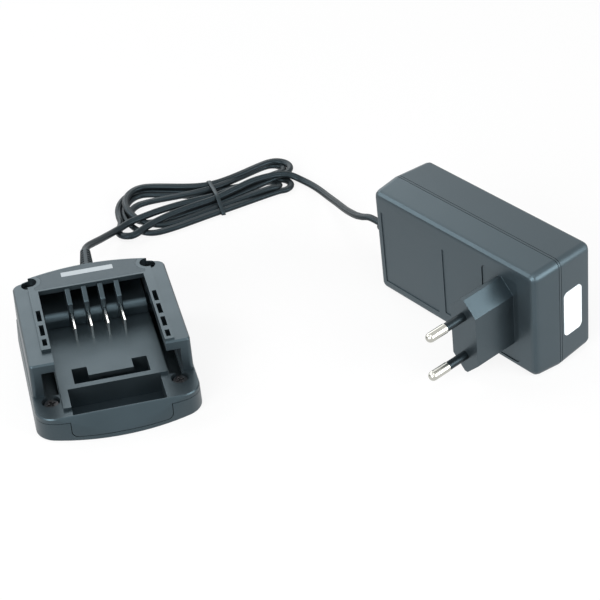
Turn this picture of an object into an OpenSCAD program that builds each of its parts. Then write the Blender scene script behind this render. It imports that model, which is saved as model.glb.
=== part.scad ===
// Slide-in battery charging cradle with a plug-in mains adapter and the twin
// flat cord between them, folded into a tied hank.
//
// Millimetres. The origin is the centre of the cradle's underside: +X across
// the cradle, +Y to its rear, +Z up. The adapter lies on its lower side beside
// the cradle and is built in its own axes: x along its long side from the cord
// end, y from the face with the plug to the back, z up.

/* [Cradle body] */
// Width across the base
cradle_w = 64.8; // [60:0.1:70]
// Length from the bowed front to the bowed rear edge
cradle_l = 82.6; // [78:0.1:88]
// Height of the side walls
wing_h = 26; // [25:0.1:30]
// Height of the open shelf at the front
shelf_h = 11.4; // [10.5:0.1:12]
// Length of the shelf in front of the side walls
shelf_l = 18.8; // [17:0.1:21]
// Wall thickness of the cradle's shells
cradle_wall = 2; // [1.6:0.1:2.2]
// Height of the line where the two cradle shells meet
cradle_seam_h = 8.8; // [8:0.1:9]

/* [Battery bay] */
// Width between the lips that hold the battery
bay_w = 43; // [41:0.1:44]
// Height of the bay floor
bay_floor_h = 12.5; // [12.3:0.1:13]
// Width of a rail channel under its lip
rail_w = 5.5; // [4.8:0.1:5.8]
// Height of a rail channel
rail_h = 10.6; // [9:0.1:11]
// Depth of the rear deck over the terminals
deck_l = 15; // [14:0.1:16]
// Height of the deck and strips above the side walls
deck_rise = 1.2; // [0.8:0.1:1.6]
// Width of the battery's latch recess
latch_w = 29.8; // [27:0.1:31]
// Width of the front pocket
pocket_w = 36.2; // [33:0.1:37]

/* [Terminals] */
// Distance between neighbouring contact blades
blade_pitch = 6.65; // [6.2:0.05:7]
// Thickness of a contact blade
blade_t = 0.8; // [0.6:0.05:1]
// Free length of a contact blade in front of its block
blade_reach = 12; // [10:0.1:13]
// Height of the terminal block above the bay floor
block_h = 6; // [5:0.1:6.5]

/* [Adapter] */
// Length of the adapter at its faces
adapter_l = 90.3; // [80:0.1:95]
// Height of the adapter at its faces
adapter_h = 48.9; // [46:0.1:54]
// Depth of the adapter without its plug
adapter_d = 31.3; // [28:0.1:34]
// Distance from the plug face to the line where its shells meet
adapter_seam = 12.7; // [11:0.1:14]
// Draft of the adapter's sides, so also its lean when it lies on its side
adapter_draft = 4.28; // [3:0.01:5]
// Wall thickness of the adapter's shells
adapter_wall = 2.2; // [1.8:0.1:2.6]

/* [Mains plug] */
// Distance from the cord end of the adapter to the plug's centre
plug_x = 71.96; // [66:0.01:74]
// Distance between the two pins
pin_pitch = 18.8; // [18:0.1:19.2]
// Diameter of a pin
pin_d = 4; // [3.8:0.1:4.2]
// Free length of a pin
pin_l = 19; // [18:0.1:20]
// Height of the plug body out of the adapter's face
plug_d = 19.8; // [16:0.1:21]

/* [Cord] */
// Width of the flat twin cord
cord_w = 3.2; // [2.8:0.1:3.6]
// Thickness of the flat twin cord
cord_t = 2; // [1.8:0.1:2.2]
// Height of the folded hank
hank_h = 6.2; // [6:0.1:9]

/* [Assembly] */
// Sub-part to build

/* [Hidden] */
$fn = 48;
eps = 0.01;
fine = 144;

// Cradle outline. The front and rear edges are bowed.
half_w = cradle_w / 2;
front_y = -cradle_l / 2;
rear_y = cradle_l / 2;
side_draft = 0.6;
wing_inset = 1.2;
wing_set = 0.25;
front_bow_r = 80;
rear_bow_r = 82;
base_corner_r = 9;
shelf_corner_r = 7.6;
rear_corner_r = 3.4;
// The front wall slopes, so the shelf ends short of the base.
shelf_setback = 3.1;
wing_front_y = front_y + shelf_l;
wing_corner_r = 1.6;

// Bay
lip_x = bay_w / 2;
channel_x = lip_x + rail_w;
floor_half_w = lip_x - 0.4;
channel_z = shelf_h;
channel_top_z = channel_z + rail_h;
deck_front_y = rear_y - deck_l;
deck_z = wing_h + deck_rise;
deck_skin = 2;
strip_w = 3.7;
strip_x = lip_x + strip_w;
left_strip_y = wing_front_y + 8.1;
rail_slot_inset = 0.6;
window_x = lip_x + 0.9;
window_w = 1.8;
// Each window: distance of its front end behind the wing end, and its length
left_windows = [[27.6, 7.6], [17.6, 7.2], [10.6, 4.5]];
right_windows = [[27.7, 7.4], [18.5, 7], [9.5, 6.5], [2.2, 4.5]];
platform_t = 1.8;
shelf_t = 1.5;
rear_wall_t = 4;

// Latch recess with its tongue, and the front pocket
latch_y = wing_front_y + 2.6;
latch_l = 10;
tongue_w = 17.8;
tongue_l = 5.8;
tub_t = 1.3;
cradle_floor_t = 2;
tub_gap = 0.4;
apron_z = cradle_floor_t + tub_gap;
pocket_floor_z = apron_z + 1;
pocket_l = 15.1;
pocket_half_w = pocket_w / 2;
apron_half_w = pocket_half_w + tub_t;
apron_corner_r = 2.4;
side_strip_l = 11.4;
seam_gap = 0.25;
seam_depth = 0.35;

// Screws
screw_front_x = half_w - 7.3;
screw_front_y = front_y + 14.8;
screw_rear_x = half_w - 8;
screw_rear_y = rear_y - 7.4;
screw_head_r = 2.75;
screw_head_h = 1.7;
screw_shank_r = 1.4;
screw_hole_r = 1.6;
counterbore_r = 3.6;
boss_r = counterbore_r + 1.2;
rear_counterbore_r = 3.2;
rear_rim_t = 0.5;
rear_rim_drop = 0.3;
front_seat_z = shelf_h - 2.9;
rear_seat_z = wing_h - 4;
pillar_top_z = 6.6;
pillar_r = 3.4;
pilot_r = 1.25;
screw_len_in_pillar = 4;

// Terminals
terminal_y = wing_front_y + 42;
terminal_half_w = floor_half_w - 0.2;
terminal_back_y = rear_y - rear_wall_t - 1.2;
fin_w = 2;
fin_reach = 0.9;
fin_rear_z = deck_z - 0.7;
fin_front_z = deck_z - 3.3;
fin_round = 0.8;
fin_gap = 0.1;
block_round = 3;
blade_rise = 0.7;
blade_xs = [-1.5 * blade_pitch, -0.5 * blade_pitch,
            0.5 * blade_pitch, 1.5 * blade_pitch];
blade_root = 6;
blade_leg_w = 2;
blade_slot_gap = 0.06;
block_top_z = bay_floor_h + block_h;
blade_top_z = block_top_z + blade_rise;

// Cradle circuit board
board_z = 4.8;
board_t = 1.6;
board_half_w = lip_x - 0.6;
board_front_y = latch_y + latch_l + 3;
board_back_y = rear_y - 12.5;
board_top_z = board_z + board_t;
standoff_r = 2;

// Cradle label and boot
label_depth = 0.3;
label_t = 0.3;
label_half_w = lip_x + 1;
boot_z = 15;
boot_x = 0;
boot_yaw = -5;
boot_l = 27.6;
boot_base_r = 3.9;
boot_tip_r = 2.2;
boot_neck_r = 2.7;
boot_flange_r = 4;
boot_seat_y = rear_y + 0.3;
boot_slots = 12;
boot_pitch = 1.95;
slot_w = 1;
spine_w = 1.5;

// Adapter placing: it leans by its draft, so that its lower side lies flat.
adapter_at = [121.55, 25.91, 0];
adapter_yaw = -64.54;
adapter_grow = adapter_seam * tan(adapter_draft);
adapter_corner_r = 3.2;
adapter_edge = 2.6;
band_w = 0.9;
groove_w = 0.25;
groove_d = 0.4;
panel_d = 0.35;

// Plug block: a tall body with the four chamfers of a flat mains plug
plug_z = adapter_h / 2 - 1.1;
plug_half_w = 6.85;
plug_half_h = pin_pitch / 2 + 8.25;
plug_chamfer = 6.1;
plug_wall = 2.2;
insert_l = 18.9;
insert_h = 39;
insert_x = plug_x - insert_l / 2 - 0.1;
insert_z = plug_z - insert_h / 2 - 0.8;
insert_t = 2.6;
insert_flange = 1.6;
insert_corner_r = 2;
insert_gap = 0.15;
sleeve_l = 9.6;
sleeve_r = pin_d / 2 - 0.2;
pin_core_r = pin_d / 2 - 0.7;
pin_root = 7;
upper_pin_z = plug_z + pin_pitch / 2;
lower_pin_z = plug_z - pin_pitch / 2;

// Adapter circuit board and its parts
pcb_x = 5;
pcb_l = plug_x - insert_l / 2 - 9;
pcb_z = 5.5;
pcb_h = adapter_h - 11;
pcb_y = adapter_d - 9.5;
pcb_t = 1.6;
post_r = 2.2;
core_l = 22;
core_h = 21;
core_d = 5.5;
bobbin_d = 15;
core_x = pcb_x + 22;
core_z = pcb_z + 7.5;
bobbin_inset = 4;
bobbin_t = 3.6;
coil_inset = 2;
coil_back = 4.8;
cap_x = pcb_x + 12;
mains_cap_z = pcb_z + 11;
mains_cap_r = 5;
mains_cap_l = 14;
output_cap_z = pcb_z + 24;
output_cap_r = 4;
output_cap_l = 12;
sink_x = pcb_x + 3;
sink_l = 15;
sink_z = pcb_z + 31;
sink_t = 1.2;
sink_d = 13;
sink_leg_h = 4;

// Small label on the adapter's near end
end_label_d = 10.2;
end_label_h = 20.8;
end_label_y = 15.2;
end_label_z = 12.6;
end_label_r = 2.2;
end_label_t = 0.25;

// Adapter boot
abo_y = adapter_seam + 0.5;
abo_z = 19.6;
abo_l = 12;
abo_base_r = 3.5;
abo_tip_r = 2.9;
abo_flange_r = 4.6;
abo_slots = 5;

// Cord lay. A lead starts at its boot's tip, on its axis.
boot_dir = [sin(-boot_yaw), cos(boot_yaw), 0];
boot_tip = [boot_x, boot_seat_y, boot_z] + boot_l * boot_dir;
lead_c_end = [26.8, 104.3, 4.5];
lead_c_route = [
    boot_tip, [2.75, 71.4, 14.9], [4.2, 74.8, 14.1], [6.9, 79.4, 12.3],
    [10.4, 85.2, 9.8], [13.7, 91.1, 7.3], [17.2, 96.2, 5.4],
    [21.6, 100.4, 4.6], lead_c_end
];
lead_a_end = [103, 123.6, 4.3];
lead_a_route = [
    [123.5, 49, 20.2], [121.4, 53, 18.6], [120, 58.4, 16.5],
    [119.4, 64.5, 14.3], [119, 71, 12], [118.8, 78, 9.7], [118.5, 85, 7.6],
    [118, 91.5, 5.8], [117.3, 98, 4.2], [116.4, 104.5, 2.9],
    [115, 110.5, 2.1], [112.8, 116, 1.8], [109.8, 120.6, 2.1],
    [106.8, 122.8, 3.2], lead_a_end
];
// Hank outline: [x, y, radius] of the circles round its two loops, which
// share the waist under the tie.
hank_waist = [67.5, 114.2, 11.4];
hank_left = [[37.5, 109.5, 15.3], [41, 120, 14]];
hank_right = [[98.5, 120.5, 7.3], [101.8, 132, 7.6]];
tie_x = hank_waist[0];
tie_w = 1.3;
tie_t = 1;
tie_front_y = 101.6;
tie_rear_y = 126.9;
knot_r = 1.3;

// ---------------------------------------------------------------- helpers

// A thin flat layer of a two-dimensional outline at height z.
module layer(z, t = eps) {
    translate([0, 0, z])
        linear_extrude(t)
            children();
}

function bow_centre_y(edge_y, r, side) = edge_y - side * r;
function corner_y(hw, edge_y, r, cr, side) =
    bow_centre_y(edge_y, r, side)
    + side * sqrt(pow(r - cr, 2) - pow(hw - cr, 2));

// Rounded rectangle between two corners, with no bow.
module rounded_rect(x0, x1, y0, y1, r) {
    translate([x0 + r, y0])
        square([x1 - x0 - 2 * r, y1 - y0]);
    translate([x0, y0 + r])
        square([x1 - x0, y1 - y0 - 2 * r]);
    for (x = [x0 + r, x1 - r], y = [y0 + r, y1 - r])
        translate([x, y])
            circle(r = r);
}

// Half of a rounded outline: one bowed edge with its two corners.
module bowed_end(hw, edge_y, r, cr, side, i) {
    cy = corner_y(hw, edge_y, r, cr, side);
    by = bow_centre_y(edge_y, r, side);
    cx = hw - cr;
    reach = 2 * cr / (r - cr);
    for (s = [-1, 1])
        translate([s * cx, cy])
            circle(r = cr - i);
    intersection() {
        translate([0, by])
            circle(r = r - i, $fn = fine);
        polygon([
            [-cx, cy],
            [-cx - cx * reach, cy + (cy - by) * reach + side * 3],
            [cx + cx * reach, cy + (cy - by) * reach + side * 3],
            [cx, cy]
        ]);
    }
}

// Outline bowed at the front and rear, i inside its true edge.
module base_outline(i = 0) {
    y0 = corner_y(half_w, front_y, front_bow_r, base_corner_r, -1);
    y1 = corner_y(half_w, rear_y, rear_bow_r, rear_corner_r, 1);
    bowed_end(half_w, front_y, front_bow_r, base_corner_r, -1, i);
    bowed_end(half_w, rear_y, rear_bow_r, rear_corner_r, 1, i);
    translate([-(half_w - i), y0])
        square([2 * (half_w - i), y1 - y0]);
}

// Outline with a straight front and a bowed rear, i inside its true edge.
module outline(hw, fy, fcr, ry, i = 0) {
    y1 = corner_y(hw, ry, rear_bow_r, rear_corner_r, 1);
    bowed_end(hw, ry, rear_bow_r, rear_corner_r, 1, i);
    rounded_rect(-hw + i, hw - i, fy + i, y1 + rear_corner_r * 0.5,
                 fcr - i);
    translate([-(hw - i), y1 - 20])
        square([2 * (hw - i), 20]);
}

module shelf_outline(i = 0) {
    outline(half_w - side_draft, front_y + shelf_setback, shelf_corner_r,
            rear_y, i);
}

module wing_outline(i = 0, drop = 0) {
    outline(half_w - wing_inset + drop, wing_front_y, wing_corner_r,
            rear_y - wing_set, i);
}

// Outer skin of the cradle up to the shelf, with its outward-sloping front.
module skirt(i = 0) {
    hull() {
        layer(0)
            base_outline(i + 0.6);
        layer(0.6, 0.9)
            base_outline(i);
        layer(shelf_h - 0.5)
            shelf_outline(i);
        layer(shelf_h - eps)
            shelf_outline(i + 0.35);
    }
}

// Space inside the skirt, between the floor and a height.
module skirt_space(top) {
    hull() {
        layer(cradle_floor_t)
            base_outline(cradle_wall + 0.4);
        layer(cradle_floor_t + 1)
            base_outline(cradle_wall);
        layer(top)
            shelf_outline(cradle_wall);
    }
}

// Block that carries the side walls and the deck.
module upper_block() {
    hull() {
        layer(shelf_h - 1, 0.2)
            wing_outline(0, wing_inset - side_draft - wing_set);
        layer(wing_h - 0.8, 0.1)
            wing_outline(0);
        layer(wing_h - 0.1, 0.1)
            wing_outline(0.6);
    }
}

// Shape of the upper shell's apron in the front wall, seen from the front.
module apron_face(g = 0) {
    w = apron_half_w + g;
    translate([-w, apron_z - g + apron_corner_r])
        square([2 * w, cradle_seam_h]);
    translate([-w + apron_corner_r, apron_z - g])
        square([2 * (w - apron_corner_r), cradle_seam_h]);
    for (s = [-1, 1])
        translate([s * (w - apron_corner_r), apron_z - g + apron_corner_r])
            circle(r = apron_corner_r);
}

module along_y(y0, y1) {
    translate([0, y1, 0])
        rotate([90, 0, 0])
            linear_extrude(y1 - y0)
                children();
}

// Extrudes an outline drawn in y and z from x0 to x1.
module along_x(x0, x1) {
    translate([x0, 0, 0])
        rotate([90, 0, 90])
            linear_extrude(x1 - x0)
                children();
}

module box(x0, x1, y0, y1, z0, z1) {
    translate([x0, y0, z0])
        cube([x1 - x0, y1 - y0, z1 - z0]);
}

module post(x, y, z0, z1, r) {
    translate([x, y, z0])
        cylinder(h = z1 - z0, r = r);
}

module at_front_screws() {
    for (s = [-1, 1])
        translate([s * screw_front_x, screw_front_y, 0])
            children();
}

module at_rear_screws() {
    for (s = [-1, 1])
        translate([s * screw_rear_x, screw_rear_y, 0])
            children();
}

// ----------------------------------------------------------------- cradle

module cradle_bottom_shell() {
    color([0.13, 0.14, 0.15])
    difference() {
        union() {
            difference() {
                skirt();
                skirt_space(shelf_h + 1);
                box(-half_w - 1, half_w + 1, front_y - 1, rear_y + 1,
                    cradle_seam_h, shelf_h + 1);
                along_y(front_y - 2, front_y + 9)
                    apron_face(seam_gap);
            }
            at_front_screws()
                cylinder(h = pillar_top_z, r = pillar_r);
            at_rear_screws()
                cylinder(h = pillar_top_z, r = pillar_r);
            for (x = [-1, 1], y = [board_front_y + 4, board_back_y - 4])
                post(x * (board_half_w - 4), y, eps, board_z, standoff_r);
        }
        at_front_screws()
            translate([0, 0, pillar_top_z - screw_len_in_pillar])
                cylinder(h = screw_len_in_pillar + 1, r = pilot_r);
        at_rear_screws()
            translate([0, 0, pillar_top_z - screw_len_in_pillar])
                cylinder(h = screw_len_in_pillar + 1, r = pilot_r);
    }
}

// Side walls, deck and shelf as one skin, hollow below.
module cradle_top_skin() {
    difference() {
        union() {
            intersection() {
                skirt();
                box(-half_w - 1, half_w + 1, front_y - 1, rear_y + 1,
                    cradle_seam_h, shelf_h);
            }
            upper_block();
            intersection() {
                layer(shelf_h, deck_z - shelf_h)
                    wing_outline(0.2);
                box(-strip_x, strip_x, deck_front_y, rear_y + 1,
                    shelf_h, deck_z);
            }
            box(-strip_x, -lip_x, left_strip_y, deck_front_y + 1,
                wing_h - 1, deck_z);
            box(lip_x, strip_x, wing_front_y + 0.6, deck_front_y + 1,
                wing_h - 1, deck_z);
        }
        skirt_space(shelf_h - shelf_t);
        box(-half_w - 1, half_w + 1, front_y - 1, rear_y + 1,
            0, cradle_seam_h);
        // fine groove along the seam
        difference() {
            box(-half_w - 1, half_w + 1, front_y - 1, rear_y + 1,
                cradle_seam_h - eps, cradle_seam_h + seam_gap);
            skirt(seam_depth);
        }
        // hollow cores of the side walls
        for (s = [-1, 1])
            translate([s * (channel_x + half_w - wing_inset) / 2 - 0.6,
                       wing_front_y + 3, 0])
                cube([1.2, rear_y - wing_front_y - 15, wing_h - 2]);
    }
}

module cradle_top_shell() {
    color([0.14, 0.15, 0.16])
    difference() {
        union() {
            cradle_top_skin();
            // tub of the front pocket, whose front is the apron
            intersection() {
                skirt();
                union() {
                    along_y(front_y - 2, front_y + 9)
                        apron_face();
                    box(-apron_half_w, apron_half_w, front_y + 8,
                        wing_front_y + tub_t, apron_z, shelf_h);
                }
            }
            box(-pocket_half_w - tub_t, pocket_half_w + tub_t,
                wing_front_y, wing_front_y + tub_t, shelf_h - 1,
                bay_floor_h);
            // raised floor left of the pocket
            box(-floor_half_w, -pocket_half_w,
                wing_front_y - side_strip_l, wing_front_y + 1,
                shelf_h - 1, bay_floor_h);
            // tub of the latch recess
            box(-latch_w / 2 - tub_t, latch_w / 2 + tub_t,
                latch_y - tub_t, latch_y + latch_l + tub_t,
                apron_z + 1, shelf_h);
            // screw bosses
            intersection() {
                union() {
                    at_front_screws()
                        translate([0, 0, pillar_top_z])
                            cylinder(h = shelf_h - pillar_top_z - eps,
                                     r = boss_r);
                    at_rear_screws()
                        translate([0, 0, pillar_top_z])
                            cylinder(h = wing_h - pillar_top_z - 1,
                                     r = boss_r);
                }
                union() {
                    skirt(1);
                    upper_block();
                }
            }
            // rims that close the rear counterbores behind the side walls
            intersection() {
                layer(rear_seat_z - 2, wing_h - rear_rim_drop - rear_seat_z + 2)
                    base_outline();
                at_rear_screws()
                    cylinder(h = wing_h, r = rear_counterbore_r + rear_rim_t);
            }
            // flat pad for the cord's boot
            translate([boot_x, boot_seat_y, boot_z])
                rotate([90, 0, 0])
                    cylinder(h = rear_wall_t, r = boot_base_r + 1.2);
        }
        // battery bay, and the space behind it under the deck
        box(-lip_x, lip_x, wing_front_y - 20, deck_front_y,
            bay_floor_h, deck_z + 1);
        box(-lip_x, lip_x, deck_front_y - 1, rear_y - rear_wall_t,
            bay_floor_h, deck_z - deck_skin);
        // thinner floor under the bay
        box(-floor_half_w + 1, floor_half_w - 1,
            latch_y + latch_l + tub_t, rear_y - rear_wall_t - 2,
            shelf_h - shelf_t - 1, bay_floor_h - platform_t);
        // rail channels, the slots in their floors and the windows above them
        for (s = [-1, 1])
            box(s > 0 ? floor_half_w : -channel_x,
                s > 0 ? channel_x : -floor_half_w,
                wing_front_y - 4, deck_front_y,
                channel_z, channel_top_z);
        for (s = [-1, 1])
            box(s > 0 ? lip_x : -channel_x + rail_slot_inset,
                s > 0 ? channel_x - rail_slot_inset : -lip_x,
                wing_front_y - rail_slot_inset, deck_front_y - 3,
                board_top_z, channel_z + 1);
        for (w = left_windows)
            box(-window_x - window_w, -window_x, wing_front_y + w[0],
                wing_front_y + w[0] + w[1], channel_top_z - 1, deck_z + 1);
        for (w = right_windows)
            box(window_x, window_x + window_w, wing_front_y + w[0],
                wing_front_y + w[0] + w[1], channel_top_z - 1, deck_z + 1);
        // front pocket
        box(-pocket_half_w, pocket_half_w, wing_front_y - pocket_l,
            wing_front_y, pocket_floor_z, bay_floor_h + 1);
        // latch recess round its tongue
        difference() {
            box(-latch_w / 2, latch_w / 2, latch_y, latch_y + latch_l,
                apron_z + 2, bay_floor_h + 1);
            box(-tongue_w / 2, tongue_w / 2, latch_y + latch_l - tongue_l,
                latch_y + latch_l + 1, bay_floor_h - platform_t,
                bay_floor_h + 2);
        }
        // screws
        at_front_screws() {
            translate([0, 0, front_seat_z])
                cylinder(h = 20, r = counterbore_r);
            cylinder(h = 20, r = screw_hole_r);
        }
        at_rear_screws() {
            translate([0, 0, rear_seat_z])
                cylinder(h = 20, r = rear_counterbore_r);
            cylinder(h = 40, r = screw_hole_r);
        }
        // slots for the contact legs
        for (x = blade_xs)
            box(x - blade_t / 2 - blade_slot_gap,
                x + blade_t / 2 + blade_slot_gap,
                terminal_y + blade_root - blade_leg_w - blade_slot_gap,
                terminal_y + blade_root + blade_slot_gap,
                board_top_z, bay_floor_h + 1);
        // way for the cord's boot
        translate([boot_x, boot_seat_y + 1, boot_z])
            rotate([90, 0, 0])
                cylinder(h = rear_wall_t + 4, r = boot_neck_r);
        // shallow recess for the label
        layer(deck_z - label_depth, 2)
            label_outline(0.1);
    }
}

// Label on the deck: bowed at the rear, cut round the screws at its ends.
module label_outline(grow = 0) {
    intersection() {
        outline(half_w - wing_inset, wing_front_y, wing_corner_r,
                rear_y - 1.4 + grow);
        difference() {
            translate([-label_half_w - grow, deck_front_y + 1.4 - grow])
                square([2 * (label_half_w + grow), deck_l]);
            for (s = [-1, 1]) {
                translate([s * screw_rear_x, screw_rear_y])
                    circle(r = rear_counterbore_r + 1.8 - grow);
                translate([s * (screw_rear_x + 6.5), screw_rear_y - 4])
                    square([12.8 - 2 * grow, 16], center = true);
            }
        }
    }
}

module cradle_label() {
    color([0.15, 0.16, 0.17])
        layer(deck_z - label_depth, label_t)
            label_outline();
}

// Side view of the block, with its front edge rounded.
module block_profile() {
    hull() {
        translate([terminal_y + block_round, block_top_z - block_round])
            circle(r = block_round);
        translate([terminal_y, bay_floor_h])
            square([terminal_back_y - terminal_y, 1]);
        translate([terminal_back_y - 1, bay_floor_h])
            square([1, block_top_z - bay_floor_h]);
    }
}

// Side view of a fin: it stands up to the deck and slopes to a round nose.
module fin_profile() {
    nose_y = terminal_y - fin_reach;
    hull() {
        translate([nose_y + fin_round, fin_front_z - fin_round])
            circle(r = fin_round);
        translate([nose_y, bay_floor_h])
            square([deck_front_y - fin_gap - nose_y, 1]);
        translate([deck_front_y - fin_gap - 1, bay_floor_h])
            square([1, fin_rear_z - bay_floor_h]);
    }
    translate([deck_front_y - 2, bay_floor_h])
        square([terminal_back_y - deck_front_y + 2,
                deck_z - deck_skin - fin_gap - bay_floor_h]);
}

module terminal_block() {
    color([0.12, 0.13, 0.14])
    difference() {
        union() {
            along_x(-terminal_half_w, terminal_half_w)
                block_profile();
            for (x = blade_xs)
                along_x(x - fin_w / 2, x + fin_w / 2)
                    fin_profile();
        }
        for (x = blade_xs)
            box(x - blade_t / 2 - blade_slot_gap,
                x + blade_t / 2 + blade_slot_gap, terminal_y - fin_reach - 1,
                terminal_y + blade_root + blade_slot_gap,
                bay_floor_h - 1, blade_top_z + blade_slot_gap);
    }
}

// One contact: a flat blade with a leg down to the circuit board.
module contact_blade(x) {
    color([0.85, 0.85, 0.84]) {
        box(x - blade_t / 2, x + blade_t / 2, terminal_y - blade_reach,
            terminal_y + blade_root, bay_floor_h, blade_top_z);
        box(x - blade_t / 2, x + blade_t / 2,
            terminal_y + blade_root - blade_leg_w, terminal_y + blade_root,
            board_top_z, bay_floor_h + eps);
    }
}

module contact_blade_1() {
    contact_blade(blade_xs[0]);
}

module contact_blade_2() {
    contact_blade(blade_xs[1]);
}

module contact_blade_3() {
    contact_blade(blade_xs[2]);
}

module contact_blade_4() {
    contact_blade(blade_xs[3]);
}

module cradle_circuit_board() {
    color([0.1, 0.32, 0.2])
        box(-board_half_w, board_half_w, board_front_y, board_back_y,
            board_z, board_top_z);
}

module cradle_capacitor() {
    color([0.2, 0.22, 0.28])
        translate([-12, board_front_y + 7, board_top_z + 1.9])
            rotate([0, 90, 0])
                cylinder(h = 9, r = 1.9);
}

module cradle_chip() {
    color([0.08, 0.08, 0.09])
        box(4, 12, board_front_y + 5, board_front_y + 10,
            board_top_z, board_top_z + 1.6);
}

// Pan-head screw with a cross recess. z is the seat of its head.
module case_screw(x, y, z) {
    color([0.45, 0.46, 0.48])
    translate([x, y, z])
    difference() {
        union() {
            cylinder(h = screw_head_h, r = screw_head_r);
            translate([0, 0, pillar_top_z - z])
                cylinder(h = z - pillar_top_z + eps, r = screw_shank_r);
            translate([0, 0, pillar_top_z - z - screw_len_in_pillar + 0.4])
                cylinder(h = screw_len_in_pillar, r = pilot_r);
        }
        for (a = [0, 90])
            rotate([0, 0, a + 20])
                translate([-1.7, -0.35, screw_head_h - 1])
                    cube([3.4, 0.7, 2]);
    }
}

module cradle_screw_front_left() {
    case_screw(-screw_front_x, screw_front_y, front_seat_z);
}

module cradle_screw_front_right() {
    case_screw(screw_front_x, screw_front_y, front_seat_z);
}

module cradle_screw_rear_left() {
    case_screw(-screw_rear_x, screw_rear_y, rear_seat_z);
}

module cradle_screw_rear_right() {
    case_screw(screw_rear_x, screw_rear_y, rear_seat_z);
}

// Tapered boot along +z, slit from both sides so that it can flex.
module slit_boot(l, r0, r1, slots, pitch, core) {
    difference() {
        cylinder(h = l, r1 = r0, r2 = r1);
        for (k = [0:slots - 1])
            translate([0, 0, l - 1.4 - k * pitch - slot_w])
                difference() {
                    translate([-r0 - 1, -r0 - 1, 0])
                        cube([2 * r0 + 2, 2 * r0 + 2, slot_w]);
                    translate([0, 0, -1])
                        cylinder(h = slot_w + 2, r = core);
                    translate([-spine_w / 2, -r0 - 2, -1])
                        cube([spine_w, 2 * r0 + 4, slot_w + 2]);
                }
    }
}

module cradle_boot() {
    color([0.11, 0.12, 0.13]) {
        translate([boot_x, boot_seat_y, boot_z])
            rotate([-90, 0, 0])
                cylinder(h = 2, r = boot_base_r + 0.5);
        translate([boot_x, boot_seat_y + 1, boot_z])
            rotate([90, 0, 0])
                cylinder(h = rear_wall_t + 1.3 + 1, r = boot_neck_r);
        translate([boot_x, rear_y - rear_wall_t, boot_z])
            rotate([90, 0, 0])
                cylinder(h = 1, r = boot_flange_r);
        difference() {
            translate([boot_x, boot_seat_y, boot_z])
                rotate([0, 0, boot_yaw])
                    rotate([-90, 0, 0])
                        slit_boot(boot_l, boot_base_r, boot_tip_r,
                                  boot_slots, boot_pitch, 1.5);
            box(-10, 10, boot_seat_y - 5, boot_seat_y + eps, 5, 25);
        }
    }
}

// ---------------------------------------------------------------- adapter

module place_adapter() {
    translate(adapter_at)
        rotate([0, 0, adapter_yaw])
            rotate([adapter_draft, 0, 0])
                children();
}

// Upright rounded rectangle at depth y, grown by g and inset by i.
module adapter_layer(y, g, i = 0, t = 0.1) {
    r = max(adapter_corner_r - i, 0.6);
    x0 = -g + i;
    x1 = adapter_l + g - i;
    z0 = -g + i;
    z1 = adapter_h + g - i;
    translate([0, y + t, 0])
        rotate([90, 0, 0])
            linear_extrude(t)
                rounded_rect(x0, x1, z0, z1, r, $fn = 32);
}

function front_grow(y) = y * tan(adapter_draft);
function back_grow(y) =
    adapter_grow * (adapter_d - y) / (adapter_d - adapter_seam);

// Form of the front shell, from the plug face to the seam. Inset by i, it
// runs on past the seam.
module front_form(i = 0) {
    e = adapter_edge;
    hull() {
        adapter_layer(i, front_grow(0), e + i * 0.4);
        adapter_layer(i + e * 0.13, front_grow(0), e * 0.5 + i * 0.7);
        adapter_layer(i + e * 0.5, front_grow(e * 0.5), e * 0.13 + i);
        adapter_layer(i + e, front_grow(e), i);
        adapter_layer(adapter_seam - (i > 0 ? -1 : 0.1), adapter_grow, i);
    }
}

// Form of the back shell, from the seam to the back. Inset by i, it starts
// in front of the seam.
module back_form(i = 0) {
    e = adapter_edge;
    d = adapter_d - i;
    hull() {
        adapter_layer(adapter_seam - (i > 0 ? 1 : 0), adapter_grow, i);
        adapter_layer(d - e, back_grow(d - e), i);
        adapter_layer(d - e * 0.5, back_grow(d - e * 0.5), e * 0.13 + i);
        adapter_layer(d - e * 0.13, back_grow(d), e * 0.5 + i * 0.7);
        adapter_layer(d - 0.1, back_grow(d), e + i * 0.4);
    }
}

module insert_outline(g = 0) {
    rounded_rect(insert_x - g, insert_x + insert_l + g, insert_z - g,
                 insert_z + insert_h + g, insert_corner_r);
}

// Shallow panel in the plug face.
module face_panel(x0, x1, z0, z1, d) {
    box(x0, x1, -1, d, z0, z1);
}

module adapter_front_shell() {
    color([0.16, 0.17, 0.18])
    place_adapter()
    difference() {
        front_form();
        difference() {
            front_form(adapter_wall);
            // frame round the plug insert
            along_y(adapter_wall, adapter_wall + 2)
                insert_outline(insert_flange + 1.2);
        }
        along_y(-1, adapter_wall + 3)
            insert_outline(insert_gap);
        along_y(adapter_wall + 1, adapter_wall + 3)
            insert_outline(insert_flange + insert_gap);
        // recessed panels for the rating print and the badge
        face_panel(3.8, 36, 4.6, 39.6, panel_d);
        face_panel(39.8, 58.4, 6.3, 38.2, panel_d);
        // half of the way for the cord's boot
        translate([-6, abo_y, abo_z])
            rotate([0, 90, 0])
                cylinder(h = 12, r = abo_base_r);
        translate([adapter_wall - 0.6, abo_y, abo_z])
            rotate([0, 90, 0])
                cylinder(h = 2, r = abo_flange_r + 0.1);
    }
}

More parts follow.
